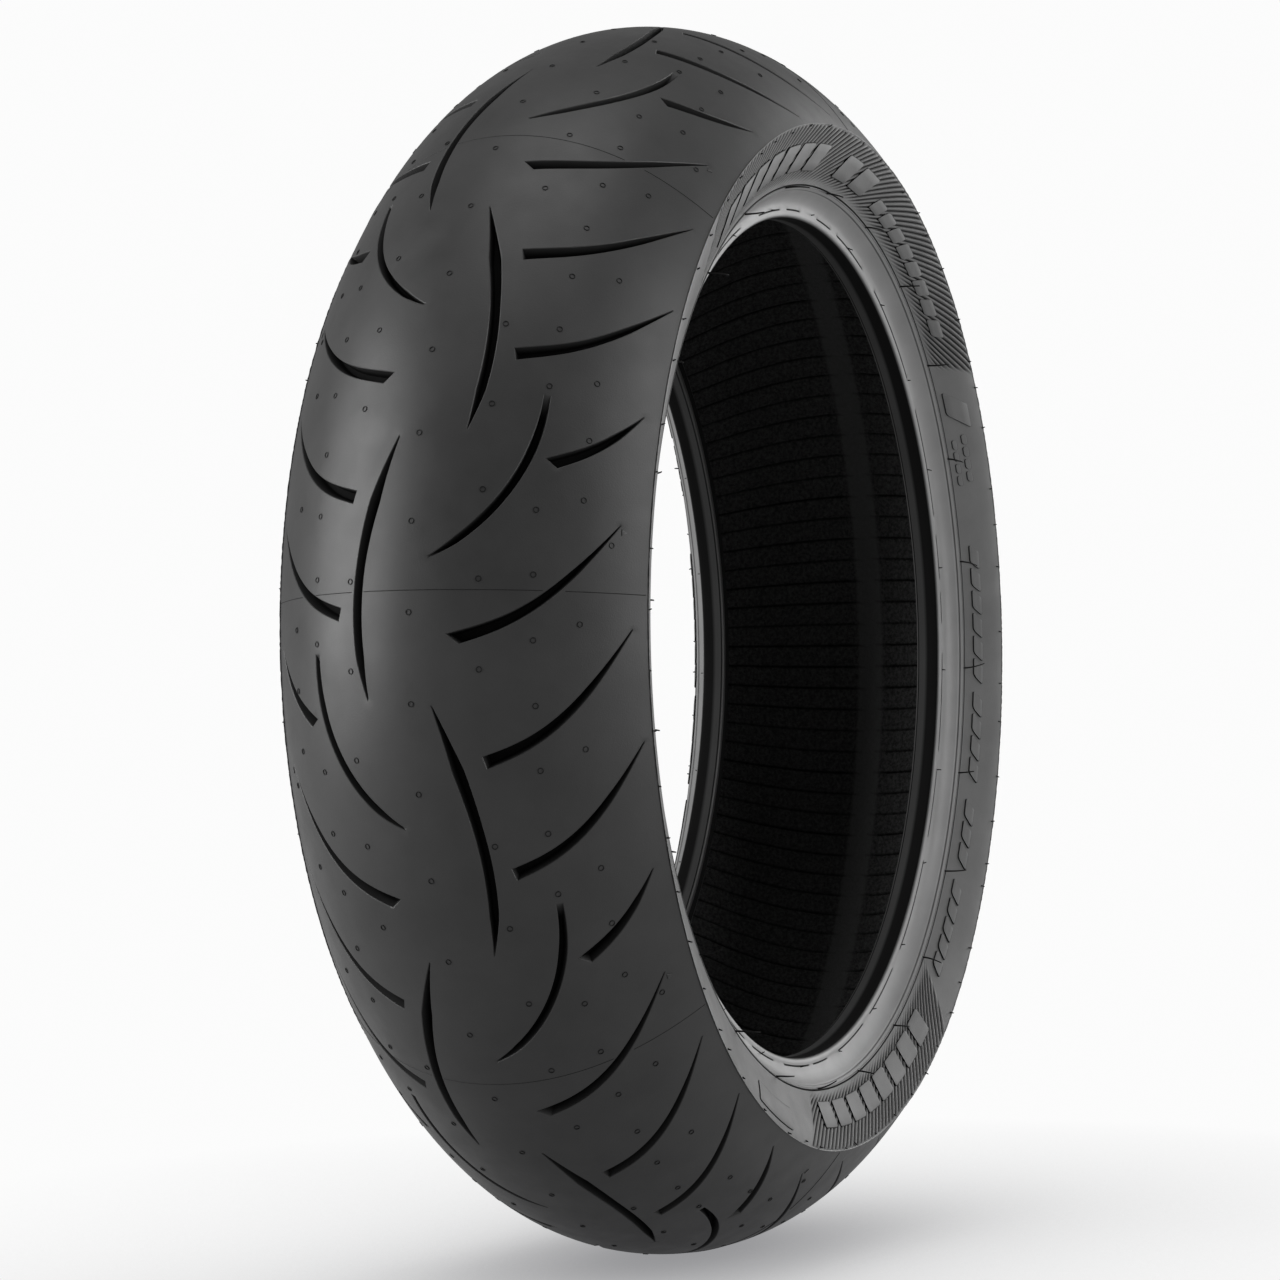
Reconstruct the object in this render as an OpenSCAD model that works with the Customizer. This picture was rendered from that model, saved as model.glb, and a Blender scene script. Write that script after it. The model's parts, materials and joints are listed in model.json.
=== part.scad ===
// Radial motorcycle rear tyre in the 190/55 ZR17 size, off its rim, built up layer by layer.
// The wheel axis lies along Y and the wheel centre is the origin. +Z is up and the tyre
// rolls towards +X, so its left side is +Y and its right side is -Y.
// Section points are [across, radius]: across is measured from the centre line.

/* [Overall size] */
// Outside diameter over the crown of the tread
outside_d = 641; // [638:0.5:644]
// Width over the two tread edges
tread_w = 190; // [188:0.5:192]
// How far the tread surface drops from the crown to its edge
crown_drop = 56; // [54:0.5:58]
// Share of that drop that comes late, close to the edge
late_drop = 0.22; // [0.18:0.01:0.26]

/* [Beads] */
// Diameter of the two bead seats
seat_d = 435; // [434:0.1:436]
// Distance between the outer faces of the beads
bead_span = 146; // [144:0.5:150]
// Width of the bead bundle's section
core_w = 5.4; // [4.8:0.1:6]
// Height of the bead bundle's section
core_h = 6; // [5:0.1:6.6]

/* [Rubber] */
// Thickness of the tread cap at the crown
cap_t = 8; // [7.6:0.1:8.6]
// Thickness of the tread cap at its edge
cap_edge_t = 6; // [5.5:0.1:6.5]
// Thickness of the tread base under the cap
base_t = 1.5; // [1:0.1:2]
// Thickness of the sidewall at mid height
side_t = 4; // [3.6:0.1:4.4]
// Thickness of the inner liner
liner_t = 1.5; // [1:0.1:1.8]

/* [Cords] */
// Thickness of the circumferential steel belt
belt_t = 1.3; // [1:0.1:1.6]
// Thickness of one carcass ply
ply_t = 1.1; // [0.8:0.1:1.3]
// Thickness of the textile wrap round a bead bundle
wrap_t = 0.7; // [0.5:0.1:0.9]

/* [Tread pattern] */
// Number of times the pattern repeats round the tyre
pitches = 8; // [6:1:8]
// Depth of the grooves
groove_depth = 6.3; // [5:0.1:6.8]
// Width of the grooves at their wide ends
groove_w = 6; // [4:0.1:7]
// Turn of the pattern round the axle, in degrees
pattern_turn = 3.5; // [0:0.5:44.5]

/* [Hidden] */
facets = 180;

half_w = tread_w / 2;
crown_r = outside_d / 2;
seat_r = seat_d / 2;
bead_face = bead_span / 2;
step = 360 / pitches;

// Stations across half of the tread, and where the layers under it end
tread_n = 16;
base_full = 13;
base_end = 15;
belt_end = 14;
// Stations down the sidewall, and where the bead filler and the ply turn-up begin
side_share = [0, 0.4, 0.58, 0.8, 1];
side_n = len(side_share) - 1;
filler_tip = 2;
turnup_end = 3;
filler_step = 2;

// ---- outer surface -------------------------------------------------------------------
function tread_r(x) = crown_r - crown_drop
    * ((1 - late_drop) * pow(x / half_w, 2) + late_drop * pow(x / half_w, 4));
function tread_slope(x) = crown_drop / half_w
    * (2 * (1 - late_drop) * x / half_w + 4 * late_drop * pow(x / half_w, 3));
function tread_x(i) = half_w * i / tread_n;
function tread_normal(x) = let (a = atan(tread_slope(x))) [sin(a), cos(a)];

// Sidewall outline, a curve from the tread edge to the rim line
edge = [half_w, tread_r(half_w)];
rim_line = [bead_face + 9, seat_r + 15.5];
side_bend = [[half_w - 1.6, edge[1] - 9], [bead_face + 12.6, seat_r + 24]];
function curve(a, b, c, d, t) = pow(1 - t, 3) * a + 3 * t * pow(1 - t, 2) * b
    + 3 * t * t * (1 - t) * c + pow(t, 3) * d;
function side_at(t) = curve(edge, side_bend[0], side_bend[1], rim_line, t);
function unit(v) = v / norm(v);
function side_normal(t) = let (h = 0.01, d = unit(side_at(min(t + h, 1)) - side_at(max(t - h, 0))))
    [-d[1], d[0]];

// ---- depth of each layer below the outer surface --------------------------------------
function ramp(v, from, to) = min(1, max(0, (v - from) / (to - from)));
function cap_depth(i) = cap_t - (cap_t - cap_edge_t) * ramp(i, 10, tread_n);
function base_depth(i) = cap_depth(i) + base_t * (1 - ramp(i, base_full, base_end));
function belt_depth(i) = base_depth(i) + belt_t * (1 - ramp(i, belt_end, tread_n));
function rubber_depth(j) = side_t + (cap_edge_t - side_t) * (1 - ramp(j, 0, filler_tip))
    - 0.8 * ramp(j, filler_tip, side_n);
function turnup_t(j) = ply_t * ramp(j, turnup_end, turnup_end + 1);
function filler_t(j) = filler_step * max(0, j - filler_tip);

function below_tread(i, depth) = let (x = tread_x(i)) [x, tread_r(x)] - depth * tread_normal(x);
function below_side(j, depth) = let (t = side_share[j]) side_at(t) - depth * side_normal(t);
function bead(x, y) = [bead_face - x, seat_r + y];

// ---- distances inside the bead, from its outer face and from its seat -----------------
seat_skin = 1.3;                          // rubber between the seat and the ply
face_skin = 2;                            // rubber between the outer face and the outer ply
heel_r = 3;
low = seat_skin + ply_t;                  // underside of the wrap
high = low + 2 * wrap_t + core_h;         // top of the wrap
out1 = face_skin + ply_t;                 // between the outer ply and the turn-up
out2 = out1 + ply_t;                      // outer side of the wrap
in2 = out2 + 2 * wrap_t + core_w;         // inner side of the wrap
in1 = in2 + ply_t;                        // cavity side of the ply
toe = in1 + liner_t;                      // cavity side of the liner
liner_end = 8.5;                          // height at which the liner meets the toe strip
ply_foot = 4;                             // height at which the outer ply ends

// ---- lines through half of the section, from the crown to the bead --------------------
surface_line = [for (i = [0:tread_n]) below_tread(i, 0)];
cap_line = [for (i = [0:tread_n]) below_tread(i, cap_depth(i))];
base_line = [for (i = [0:tread_n]) below_tread(i, base_depth(i))];
belt_line = [for (i = [0:tread_n]) below_tread(i, belt_depth(i))];
side_line = [for (t = [0:0.1:1]) side_at(t)];

// Outside of the carcass, and the lines that follow it at a depth
rim_station = tread_n + side_n;
carcass = concat(belt_line, [for (j = [1:side_n]) below_side(j, rubber_depth(j))],
                 [bead(face_skin, high - 1.5)]);
function carcass_normal(i) = i == 0 ? [0, 1]
    : let (d = unit(carcass[i + 1] - carcass[i - 1])) [-d[1], d[0]];
function inside(i, depth) = carcass[i] - depth * carcass_normal(i);
function turnup_depth(i) = ply_t + turnup_t(i - tread_n);
function inner_depth(i) = turnup_depth(i) + filler_t(i - tread_n);
ply_line = [for (i = [0:rim_station]) carcass[i]];
mid_line = [for (i = [0:rim_station]) inside(i, ply_t)];
turnup_line = [for (i = [tread_n + turnup_end:rim_station]) inside(i, turnup_depth(i))];
core_line = [for (i = [0:rim_station]) inside(i, inner_depth(i))];
liner_line = [for (i = [0:rim_station]) inside(i, inner_depth(i) + ply_t)];
cavity_line = [for (i = [0:rim_station]) inside(i, inner_depth(i) + ply_t + liner_t)];

function turned(line) = [for (i = [len(line) - 1:-1:0]) line[i]];
function across(line) = [for (i = [len(line) - 1:-1:1]) [-line[i][0], line[i][1]]];
function whole(line) = concat(across(line), line);

// ---- building blocks -------------------------------------------------------------------
// A ring about the axle from a closed section
module ring(section) {
    rotate([90, 0, 0])
        rotate_extrude($fn = facets)
            polygon([for (p = section) [p[1], p[0]]]);
}
module left_ring(section) {
    mirror([0, 1, 0])
        ring(section);
}
// A layer that runs across the tyre between two lines of half the section
module layer(outer, inner) {
    ring(concat(whole(outer), turned(whole(inner))));
}

// ---- sections that repeat on the left and the right -----------------------------------
function part_of(line, from, to) = [for (i = [from:to]) line[i]];
belt_edge_section = concat(part_of(base_line, belt_end, tread_n),
    turned(part_of(belt_line, belt_end, tread_n - 1)));
sidewall_section = concat(side_line, turned(part_of(ply_line, tread_n, rim_station)));
heel_arc = [for (a = [0:15:90]) bead(heel_r - heel_r * cos(a), heel_r - heel_r * sin(a))];
flange_curve = [for (t = [0:0.2:0.8])
    curve(rim_line, bead(-5.4, 12.6), bead(-0.2, 10), bead(0, heel_r), t)];
rim_strip_section = concat(flange_curve, heel_arc,
    [bead(in1, 0), bead(in1, seat_skin), bead(out1, seat_skin), bead(out1, ply_foot),
     bead(face_skin, ply_foot), bead(face_skin, high - 1.5), ply_line[rim_station]]);
toe_strip_section = [bead(in1, 0), bead(in1 + 0.6, 0), bead(toe - 0.4, 0.3), bead(toe + 0.1, 1.2),
    bead(toe, liner_end), bead(in1, liner_end)];
filler_section = concat([core_line[tread_n + filler_tip]], turnup_line,
    [bead(out2, high), bead(in2, high)],
    turned(part_of(core_line, tread_n + filler_tip + 1, rim_station)));
wrap_section = [bead(out2, low), bead(out2, high), bead(in2, high), bead(in2, low)];
core_chamfer = 1.4;
core_half = [core_w / 2, core_h / 2];
core_mid = bead((out2 + in2) / 2, (low + high) / 2);
core_section = [for (q = [[1, 1], [-1, 1], [-1, -1], [1, -1]], s = [0, 1])
    let (cut = (q[0] * q[1] > 0) == (s == 0) ? [0, core_chamfer] : [core_chamfer, 0])
    core_mid + [q[0] * (core_half[0] - cut[0]), q[1] * (core_half[1] - cut[1])]];

// ---- tread pattern ---------------------------------------------------------------------
// Each groove is a list of [turn in pitches, across in mm, width as a share of groove_w].
// The list gives one half of the tread. The other half is its mirror image, half a pitch round.
function bow(a, b, c, d, shares) = let (n = len(shares) - 1)
    [for (k = [0:n]) let (p = curve(a, b, c, d, k / n)) [p[0], p[1], shares[k]]];
// A groove that starts blunt, sweeps outwards and runs out to a point
function sweep(turn, inner, reach, outer, late) = [for (k = [0:4]) let (t = k / 4)
    [turn + reach * ((1 - late) * t + late * pow(t, 3)), inner + (outer - inner) * t,
     [1, 0.9, 0.75, 0.55, 0.05][k]]];
grooves = [bow([-0.70, 22.8], [-0.57, 31], [-0.43, 31], [-0.21, 10], [0.05, 0.75, 0.8, 0.8, 0.95, 0.05]),
           bow([-0.94, 9], [-0.90, 30], [-0.80, 55], [-0.615, 54.7], [0.1, 0.55, 0.65, 0.65, 0.7, 0.5]),
           sweep(-0.09, 21, 0.235, 85.5, 0.7), sweep(-0.32, 32.5, 0.245, 90, 0.7),
           sweep(-0.54, 39, 0.22, 92, 0.7), sweep(-0.75, 59.5, 0.145, 89.5, 0.5)];

function groove_mid(g) = (g[0][0] + g[len(g) - 1][0]) / 2;
// A groove point on a flat sheet that touches the tyre at the groove's middle
function flat(g, k) = let (p = g[k]) [tread_r(p[1]) * sin((p[0] - groove_mid(g)) * step), p[1]];
function along(g, k) = unit(flat(g, min(k + 1, len(g) - 1)) - flat(g, max(k - 1, 0)));
function bank(g, k, side) = let (d = along(g, k))
    flat(g, k) + side * g[k][2] * groove_w / 2 * [-d[1], d[0]];
function outline(g) = concat([for (k = [0:len(g) - 1]) bank(g, k, 1)],
    [for (k = [len(g) - 1:-1:0]) bank(g, k, -1)]);

// Radial posts in the shape of the grooves, for one half of the tread
module groove_posts() {
    for (n = [0:pitches - 1], g = grooves)
        rotate([0, 0, (n + groove_mid(g)) * step + pattern_turn])
            rotate([0, 90, 0])
                translate([0, 0, crown_r - crown_drop - 16])
                    linear_extrude(crown_drop + 20)
                        polygon([for (p = outline(g)) [-p[1], p[0]]]);
}
// The band of the cap that the grooves cut through
groove_floor = [for (i = [0:2:tread_n]) below_tread(i, groove_depth)];
groove_roof = [for (i = [0:4:tread_n]) below_tread(i, -3)];

// ---- parts -----------------------------------------------------------------------------
// Grooved outer rubber, the running surface
module tread_cap() {
    color("#4a4b4d")
    difference() {
        layer(surface_line, cap_line);
        intersection() {
            union() {
                rotate([90, step / 2, 0])
                    groove_posts();
                mirror([0, 1, 0])
                    rotate([90, 0, 0])
                        groove_posts();
            }
            layer(groove_roof, groove_floor);
        }
    }
}
// Thin cushion of cooler rubber that bonds the cap to the belt
module tread_base() {
    color("#5d5148")
    layer(part_of(cap_line, 0, base_end), part_of(base_line, 0, base_end));
}
// Steel cord wound round the crown in one spiral
module zero_degree_belt() {
    color("#b08d57")
    layer(part_of(base_line, 0, belt_end), part_of(belt_line, 0, belt_end));
}
// Soft wedge under the tread that covers the cut edge of the belt
module belt_edge_strip_right() {
    color("#7b6a58")
    ring(belt_edge_section);
}
module belt_edge_strip_left() {
    color("#7b6a58")
    left_ring(belt_edge_section);
}
// Outer carcass ply, which stops at the heel of each bead
module carcass_ply_outer() {
    color("#a39a86")
    layer(concat(ply_line, [bead(face_skin, high - 1.5), bead(face_skin, ply_foot)]),
          concat(mid_line, [bead(out1, high - 0.8), bead(out1, ply_foot)]));
}
// Inner carcass ply, which passes under each bead and turns up outside its filler
module carcass_ply_inner() {
    color("#8f8672")
    layer(concat(core_line, [bead(in2, high), bead(in2, low), bead(out2, low), bead(out2, high)],
                 turned(part_of(turnup_line, 1, side_n - turnup_end))),
          concat(liner_line, [bead(in1, high + 0.6), bead(in1, seat_skin), bead(out1, seat_skin),
                              bead(out1, high - 0.8)],
                 turned(part_of(mid_line, tread_n + turnup_end, rim_station))));
}
// Airtight rubber skin on the inside
module inner_liner() {
    color("#2c2c2e")
    layer(concat(liner_line, [bead(in1, high + 0.6), bead(in1, liner_end)]),
          concat(cavity_line, [bead(toe, high + 1.2), bead(toe, liner_end)]));
}
// Flexing side rubber, from the tread edge to the rim line
module sidewall_right() {
    color("#56575a")
    ring(sidewall_section);
}
module sidewall_left() {
    color("#56575a")
    left_ring(sidewall_section);
}
// Hard rubber that seats on the rim and seals against its flange
module rim_strip_right() {
    color("#6a6b6e")
    ring(rim_strip_section);
}
module rim_strip_left() {
    color("#6a6b6e")
    left_ring(rim_strip_section);
}
// Strip over the toe of the bead
module toe_strip_right() {
    color("#505154")
    ring(toe_strip_section);
}
module toe_strip_left() {
    color("#505154")
    left_ring(toe_strip_section);
}
// Stiff rubber wedge that stands on the bead bundle
module bead_filler_right() {
    color("#3f4a52")
    ring(filler_section);
}
module bead_filler_left() {
    color("#3f4a52")
    left_ring(filler_section);
}
// Rubbered textile round the bead bundle
module bead_wrap_right() {
    color("#c8bfa6")
    difference() {
        ring(wrap_section);
        ring(core_section);
    }
}
module bead_wrap_left() {
    mirror([0, 1, 0])
        bead_wrap_right();
}
// Bundle of steel wire that holds the tyre on the rim
module bead_core_right() {
    color("#b8904a")
    ring(core_section);
}
module bead_core_left() {
    color("#b8904a")
    left_ring(core_section);
}

tread_cap();
tread_base();
zero_degree_belt();
belt_edge_strip_left();
belt_edge_strip_right();
carcass_ply_outer();
carcass_ply_inner();
inner_liner();
sidewall_left();
sidewall_right();
rim_strip_left();
rim_strip_right();
toe_strip_left();
toe_strip_right();
bead_filler_left();
bead_filler_right();
bead_wrap_left();
bead_wrap_right();
bead_core_left();
bead_core_right();
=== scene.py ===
import json
import math
import random

import bmesh
import bpy
import numpy as np
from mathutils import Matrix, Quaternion, Vector
from mathutils.geometry import delaunay_2d_cdt


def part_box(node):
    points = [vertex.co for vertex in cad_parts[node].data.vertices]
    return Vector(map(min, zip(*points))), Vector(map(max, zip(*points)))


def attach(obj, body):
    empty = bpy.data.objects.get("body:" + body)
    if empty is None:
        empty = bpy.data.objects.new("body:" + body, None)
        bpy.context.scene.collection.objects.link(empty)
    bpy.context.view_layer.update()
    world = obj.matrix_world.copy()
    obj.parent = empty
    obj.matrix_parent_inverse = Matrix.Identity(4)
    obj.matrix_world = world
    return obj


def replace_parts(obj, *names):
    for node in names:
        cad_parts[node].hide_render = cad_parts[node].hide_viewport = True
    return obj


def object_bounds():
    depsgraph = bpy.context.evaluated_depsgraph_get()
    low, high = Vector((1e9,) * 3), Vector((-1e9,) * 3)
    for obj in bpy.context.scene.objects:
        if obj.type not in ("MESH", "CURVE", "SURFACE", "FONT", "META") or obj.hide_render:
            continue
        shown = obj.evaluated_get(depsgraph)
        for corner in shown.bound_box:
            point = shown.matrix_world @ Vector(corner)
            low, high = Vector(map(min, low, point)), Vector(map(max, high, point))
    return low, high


# A loose radial motorcycle tyre. The axle is Y, the tyre rolls towards +X and +Z is up.
# "Across" is the distance from the centre line along Y, and "turn" is an angle about the
# axle, from +X towards +Z. All lengths are in metres.
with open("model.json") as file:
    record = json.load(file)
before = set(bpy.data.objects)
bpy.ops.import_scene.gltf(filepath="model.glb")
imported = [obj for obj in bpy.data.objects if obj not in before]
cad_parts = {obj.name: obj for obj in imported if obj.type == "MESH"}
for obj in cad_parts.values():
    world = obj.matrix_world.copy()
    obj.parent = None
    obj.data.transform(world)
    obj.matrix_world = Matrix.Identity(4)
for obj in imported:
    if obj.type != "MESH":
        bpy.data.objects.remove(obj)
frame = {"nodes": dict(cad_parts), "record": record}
cad_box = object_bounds()

MM = 0.001
SIDES = {"left": 1, "right": -1}

# ---- sizes, from the frame -------------------------------------------------------------
CROWN_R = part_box("tread_cap")[1].z
HALF_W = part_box("tread_cap")[1].y
EDGE_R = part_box("sidewall_left")[1].z
CROWN_DROP = CROWN_R - EDGE_R
LATE_DROP = 0.22
SEAT = next(m for m in frame["record"]["mounts"] if m["name"] == "bead_seat_left")
SEAT_R = SEAT["dims"]["r_mm"] * MM
HEEL_R = 3 * MM
BEAD_FACE = SEAT["pos_m"][1] + SEAT["dims"]["length_mm"] * MM / 2 + HEEL_R
RIM_LINE = (BEAD_FACE + 9 * MM, SEAT_R + 15.5 * MM)
TOE = 13.6 * MM

# ---- tread pattern ---------------------------------------------------------------------
PITCHES = 8
STEP = 2 * math.pi / PITCHES
PATTERN_TURN = math.radians(3.5)
PITCH_LEN = STEP * CROWN_R
GROOVE_DEPTH = 6.3 * MM
GROOVE_W = 6.0 * MM


def curve(a, b, c, d, t):
    """A cubic curve through a and d that b and c bend."""
    t = np.asarray(t, float)[..., None]
    a, b, c, d = (np.asarray(p, float) for p in (a, b, c, d))
    return (1 - t) ** 3 * a + 3 * t * (1 - t) ** 2 * b + 3 * t * t * (1 - t) * c + t ** 3 * d


def tread_r(across):
    share = np.abs(across) / HALF_W
    return CROWN_R - CROWN_DROP * ((1 - LATE_DROP) * share ** 2 + LATE_DROP * share ** 4)


def tread_slope(across):
    share = across / HALF_W
    return CROWN_DROP / HALF_W * (2 * (1 - LATE_DROP) * share + 4 * LATE_DROP * share ** 3)


# Length along the tread surface from the centre line, and back to the distance across
_across = np.linspace(0, HALF_W, 600)
_run = np.sqrt(1 + tread_slope(_across) ** 2)
_length = np.concatenate([[0], np.cumsum((_run[1:] + _run[:-1]) / 2 * np.diff(_across))])
HALF_LENGTH = _length[-1]


def surface_length(across):
    return np.sign(across) * np.interp(np.abs(across), _across, _length)


def across_at(length):
    return np.sign(length) * np.interp(np.abs(length), _length, _across)


def around(turn, across, radius):
    """Points at a turn about the axle, as an array of x, y, z."""
    turn, across, radius = np.broadcast_arrays(turn, across, radius)
    return np.stack([radius * np.cos(turn), across, radius * np.sin(turn)], -1)


def on_tread(turn, across, depth=0.0):
    """Points below the tread surface, measured square to it."""
    tilt = np.arctan(tread_slope(across))
    return around(turn, across - depth * np.sin(tilt), tread_r(across) - depth * np.cos(tilt))


# ---- mesh helpers ----------------------------------------------------------------------
def add_mesh(name, points, faces, crease, deep=None):
    """A closed, smooth-shaded mesh object with creases where it bends by more than an angle.

    The last argument gives each point's painted shade, which darkens the rubber in grooves, valleys and
    other recesses where shade falls."""
    mesh = bpy.data.meshes.new(name)
    mesh.from_pydata([tuple(p) for p in points], [], [tuple(f) for f in faces])
    mesh.validate()
    mesh.shade_smooth()
    piece = bpy.data.objects.new(name, mesh)
    bpy.context.scene.collection.objects.link(piece)
    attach(piece, "root")
    if deep is not None:
        shade = mesh.attributes.new("painted_shade", "FLOAT", "POINT")
        shade.data.foreach_set("value", np.asarray(deep, np.float32).ravel())
    turn_faces_outwards(mesh)
    mesh.set_sharp_from_angle(angle=math.radians(crease))
    return piece


def grid_faces(rows, columns, wrap_rows=False, wrap_columns=True, start=0):
    """Quads of a grid whose vertex number is start + row * columns + column."""
    row = np.arange(rows if wrap_rows else rows - 1)
    column = np.arange(columns if wrap_columns else columns - 1)
    r, c = np.meshgrid(row, column, indexing="ij")
    r2, c2 = (r + 1) % rows, (c + 1) % columns
    quads = np.stack([r * columns + c, r * columns + c2, r2 * columns + c2, r2 * columns + c], -1)
    return (quads.reshape(-1, 4) + start).tolist()


def turn_faces_outwards(mesh):
    bm = bmesh.new()
    bm.from_mesh(mesh)
    bmesh.ops.recalc_face_normals(bm, faces=bm.faces)
    bm.to_mesh(mesh)
    bm.free()


# ---- grooves ---------------------------------------------------------------------------
class Groove:
    """A groove's middle line as [turn in pitches, across] and its width along the way."""

    def __init__(self, line, widths, blunt_start, skew=0.0):
        self.line, self.widths = line, widths
        self.blunt_start, self.skew = blunt_start, skew


def bow(a, b, c, d, shares):
    """A groove along a cubic curve, with its widths as shares of GROOVE_W."""
    t = np.linspace(0, 1, 160)
    line = curve(a, b, c, d, t)
    widths = np.interp(t, np.linspace(0, 1, len(shares)), shares) * GROOVE_W
    return Groove(line, widths, False)


def sweep(turn, inner, reach, outer, late, skew=0.0):
    """A groove that starts blunt, sweeps outwards and runs out to a point."""
    t = np.linspace(0, 1, 160)
    line = np.stack([turn + reach * ((1 - late) * t + late * t ** 3), inner + (outer - inner) * t], -1)
    shares = (1, 0.9, 0.75, 0.55, 0.05)
    widths = np.interp(t, np.linspace(0, 1, len(shares)), shares) * GROOVE_W
    return Groove(line, widths, True, skew)


# One half of the tread. The other half is its mirror image, half a pitch round.
GROOVES = [bow((-0.70, 22.8), (-0.57, 31), (-0.43, 31), (-0.21, 10), (0.05, 0.75, 0.8, 0.8, 0.95, 0.05)),
           bow((-0.94, 9), (-0.90, 30), (-0.80, 55), (-0.615, 54.7), (0.1, 0.55, 0.65, 0.65, 0.7, 0.5)),
           sweep(-0.09, 21, 0.235, 85.5, 0.7, skew=2.2 * MM), sweep(-0.32, 32.5, 0.245, 90, 0.7),
           sweep(-0.54, 39, 0.22, 92, 0.7), sweep(-0.75, 59.5, 0.145, 89.5, 0.5, skew=1.8 * MM)]

# Rings of points that a groove's sides pass through, from the lip to the floor: how far the
# ring stands outside the groove's width, its depth, and its setback at a blunt end and a tip
RINGS = [(0.35 * MM, 0.0, -0.35 * MM, -0.4 * MM), (0.0, 0.3 * MM, 0.0, 0.3 * MM),
         (-0.55 * MM, GROOVE_DEPTH - 0.8 * MM, 1.1 * MM, 9.0 * MM),
         (-1.15 * MM, GROOVE_DEPTH, 1.8 * MM, 11.0 * MM)]
STATION = 2.4 * MM
THINNEST = 0.14 * MM


def flat(line):
    """Groove points laid out flat: length round the crown, length across the surface."""
    return np.stack([line[:, 0] * PITCH_LEN, surface_length(line[:, 1] * MM)], -1)


def groove_rings(groove):
    """The groove's rings as [ring][point] of flat coordinates, with their depths."""
    middle = flat(groove.line)
    squeeze = tread_r(groove.line[:, 1] * MM) / CROWN_R
    true_step = np.diff(middle, axis=0) * np.stack([(squeeze[1:] + squeeze[:-1]) / 2,
                                                    np.ones(len(squeeze) - 1)], -1)
    travelled = np.concatenate([[0], np.cumsum(np.hypot(*true_step.T))])
    total = travelled[-1]
    count = max(12, int(total / STATION))
    tangent = np.stack([np.gradient(middle[:, 0]) * squeeze, np.gradient(middle[:, 1])], -1)
    tangent /= np.linalg.norm(tangent, axis=1)[:, None]
    rings = []
    for stand, depth, setback, tip_setback in RINGS:
        start = setback if groove.blunt_start else tip_setback
        banks = []
        for side in (1, -1):
            shift = side * groove.skew if groove.blunt_start else 0.0
            ease = np.linspace(0, 1, count)
            place = start + shift * (1 - ease) ** 3 + ease * (total - tip_setback - start)
            place = np.clip(place, -1, total + 1 * MM)
            pos = np.stack([np.interp(place, travelled, middle[:, k]) for k in (0, 1)], -1)
            tan = np.stack([np.interp(place, travelled, tangent[:, k]) for k in (0, 1)], -1)
            pull = np.interp(place, travelled, squeeze)
            half = np.interp(place, travelled, groove.widths) / 2
            half = np.maximum(half + stand, THINNEST)
            over = np.minimum(place, 0) + np.maximum(place - total, 0)
            pos = pos + over[:, None] * tan / np.stack([pull, np.ones(count)], -1)
            normal = np.stack([-tan[:, 1] / pull, tan[:, 0]], -1)
            banks.append(pos + side * half[:, None] * normal)
        rings.append((np.concatenate([banks[0], banks[1][::-1]]), depth))
    return rings, count


# A groove can reach into the pitches on both sides of its own
NEAR_PITCHES = (-2, -1, 0, 1, 2)


def mirrored(rings):
    """The same rings on the other half of the tread, half a pitch round."""
    return [(ring * (1, -1) + (PITCH_LEN / 2, 0), depth) for ring, depth in rings]


def inside(points, ring):
    """Which points lie inside a closed ring."""
    x, y = points[:, 0][:, None], points[:, 1][:, None]
    a, b = ring, np.roll(ring, -1, axis=0)
    crosses = (a[:, 1] > y) != (b[:, 1] > y)
    with np.errstate(divide="ignore", invalid="ignore"):
        at = a[:, 0] + (y - a[:, 1]) / (b[:, 1] - a[:, 1]) * (b[:, 0] - a[:, 0])
    return (np.sum(crosses & (x < at), axis=1) % 2) == 1


def pitch_grooves():
    """All groove rings of one pitch, for both halves, with the points along each bank."""
    grooves = []
    for groove in GROOVES:
        rings, count = groove_rings(groove)
        grooves.append((rings, count))
        grooves.append((mirrored(rings), count))
    return grooves


# ---- tread -----------------------------------------------------------------------------
GRID_ACROSS = 60
GRID_ROUND = 63
# How far the grid points keep from a groove
CLEAR = 1.3 * MM
CAP_T, CAP_EDGE_T = 8 * MM, 6 * MM
CAP_ROWS = 10
# Depth in a groove below which painted shade darkens its rubber fully
PAINTED_SHADE_BELOW = 1.5 * MM


def cap_depth(across):
    """Thickness of the cap, which thins out over the outer six sixteenths of its half width."""
    late = np.clip((np.abs(across) / HALF_W * 16 - 10) / 6, 0, 1)
    return CAP_T - (CAP_T - CAP_EDGE_T) * late


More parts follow.
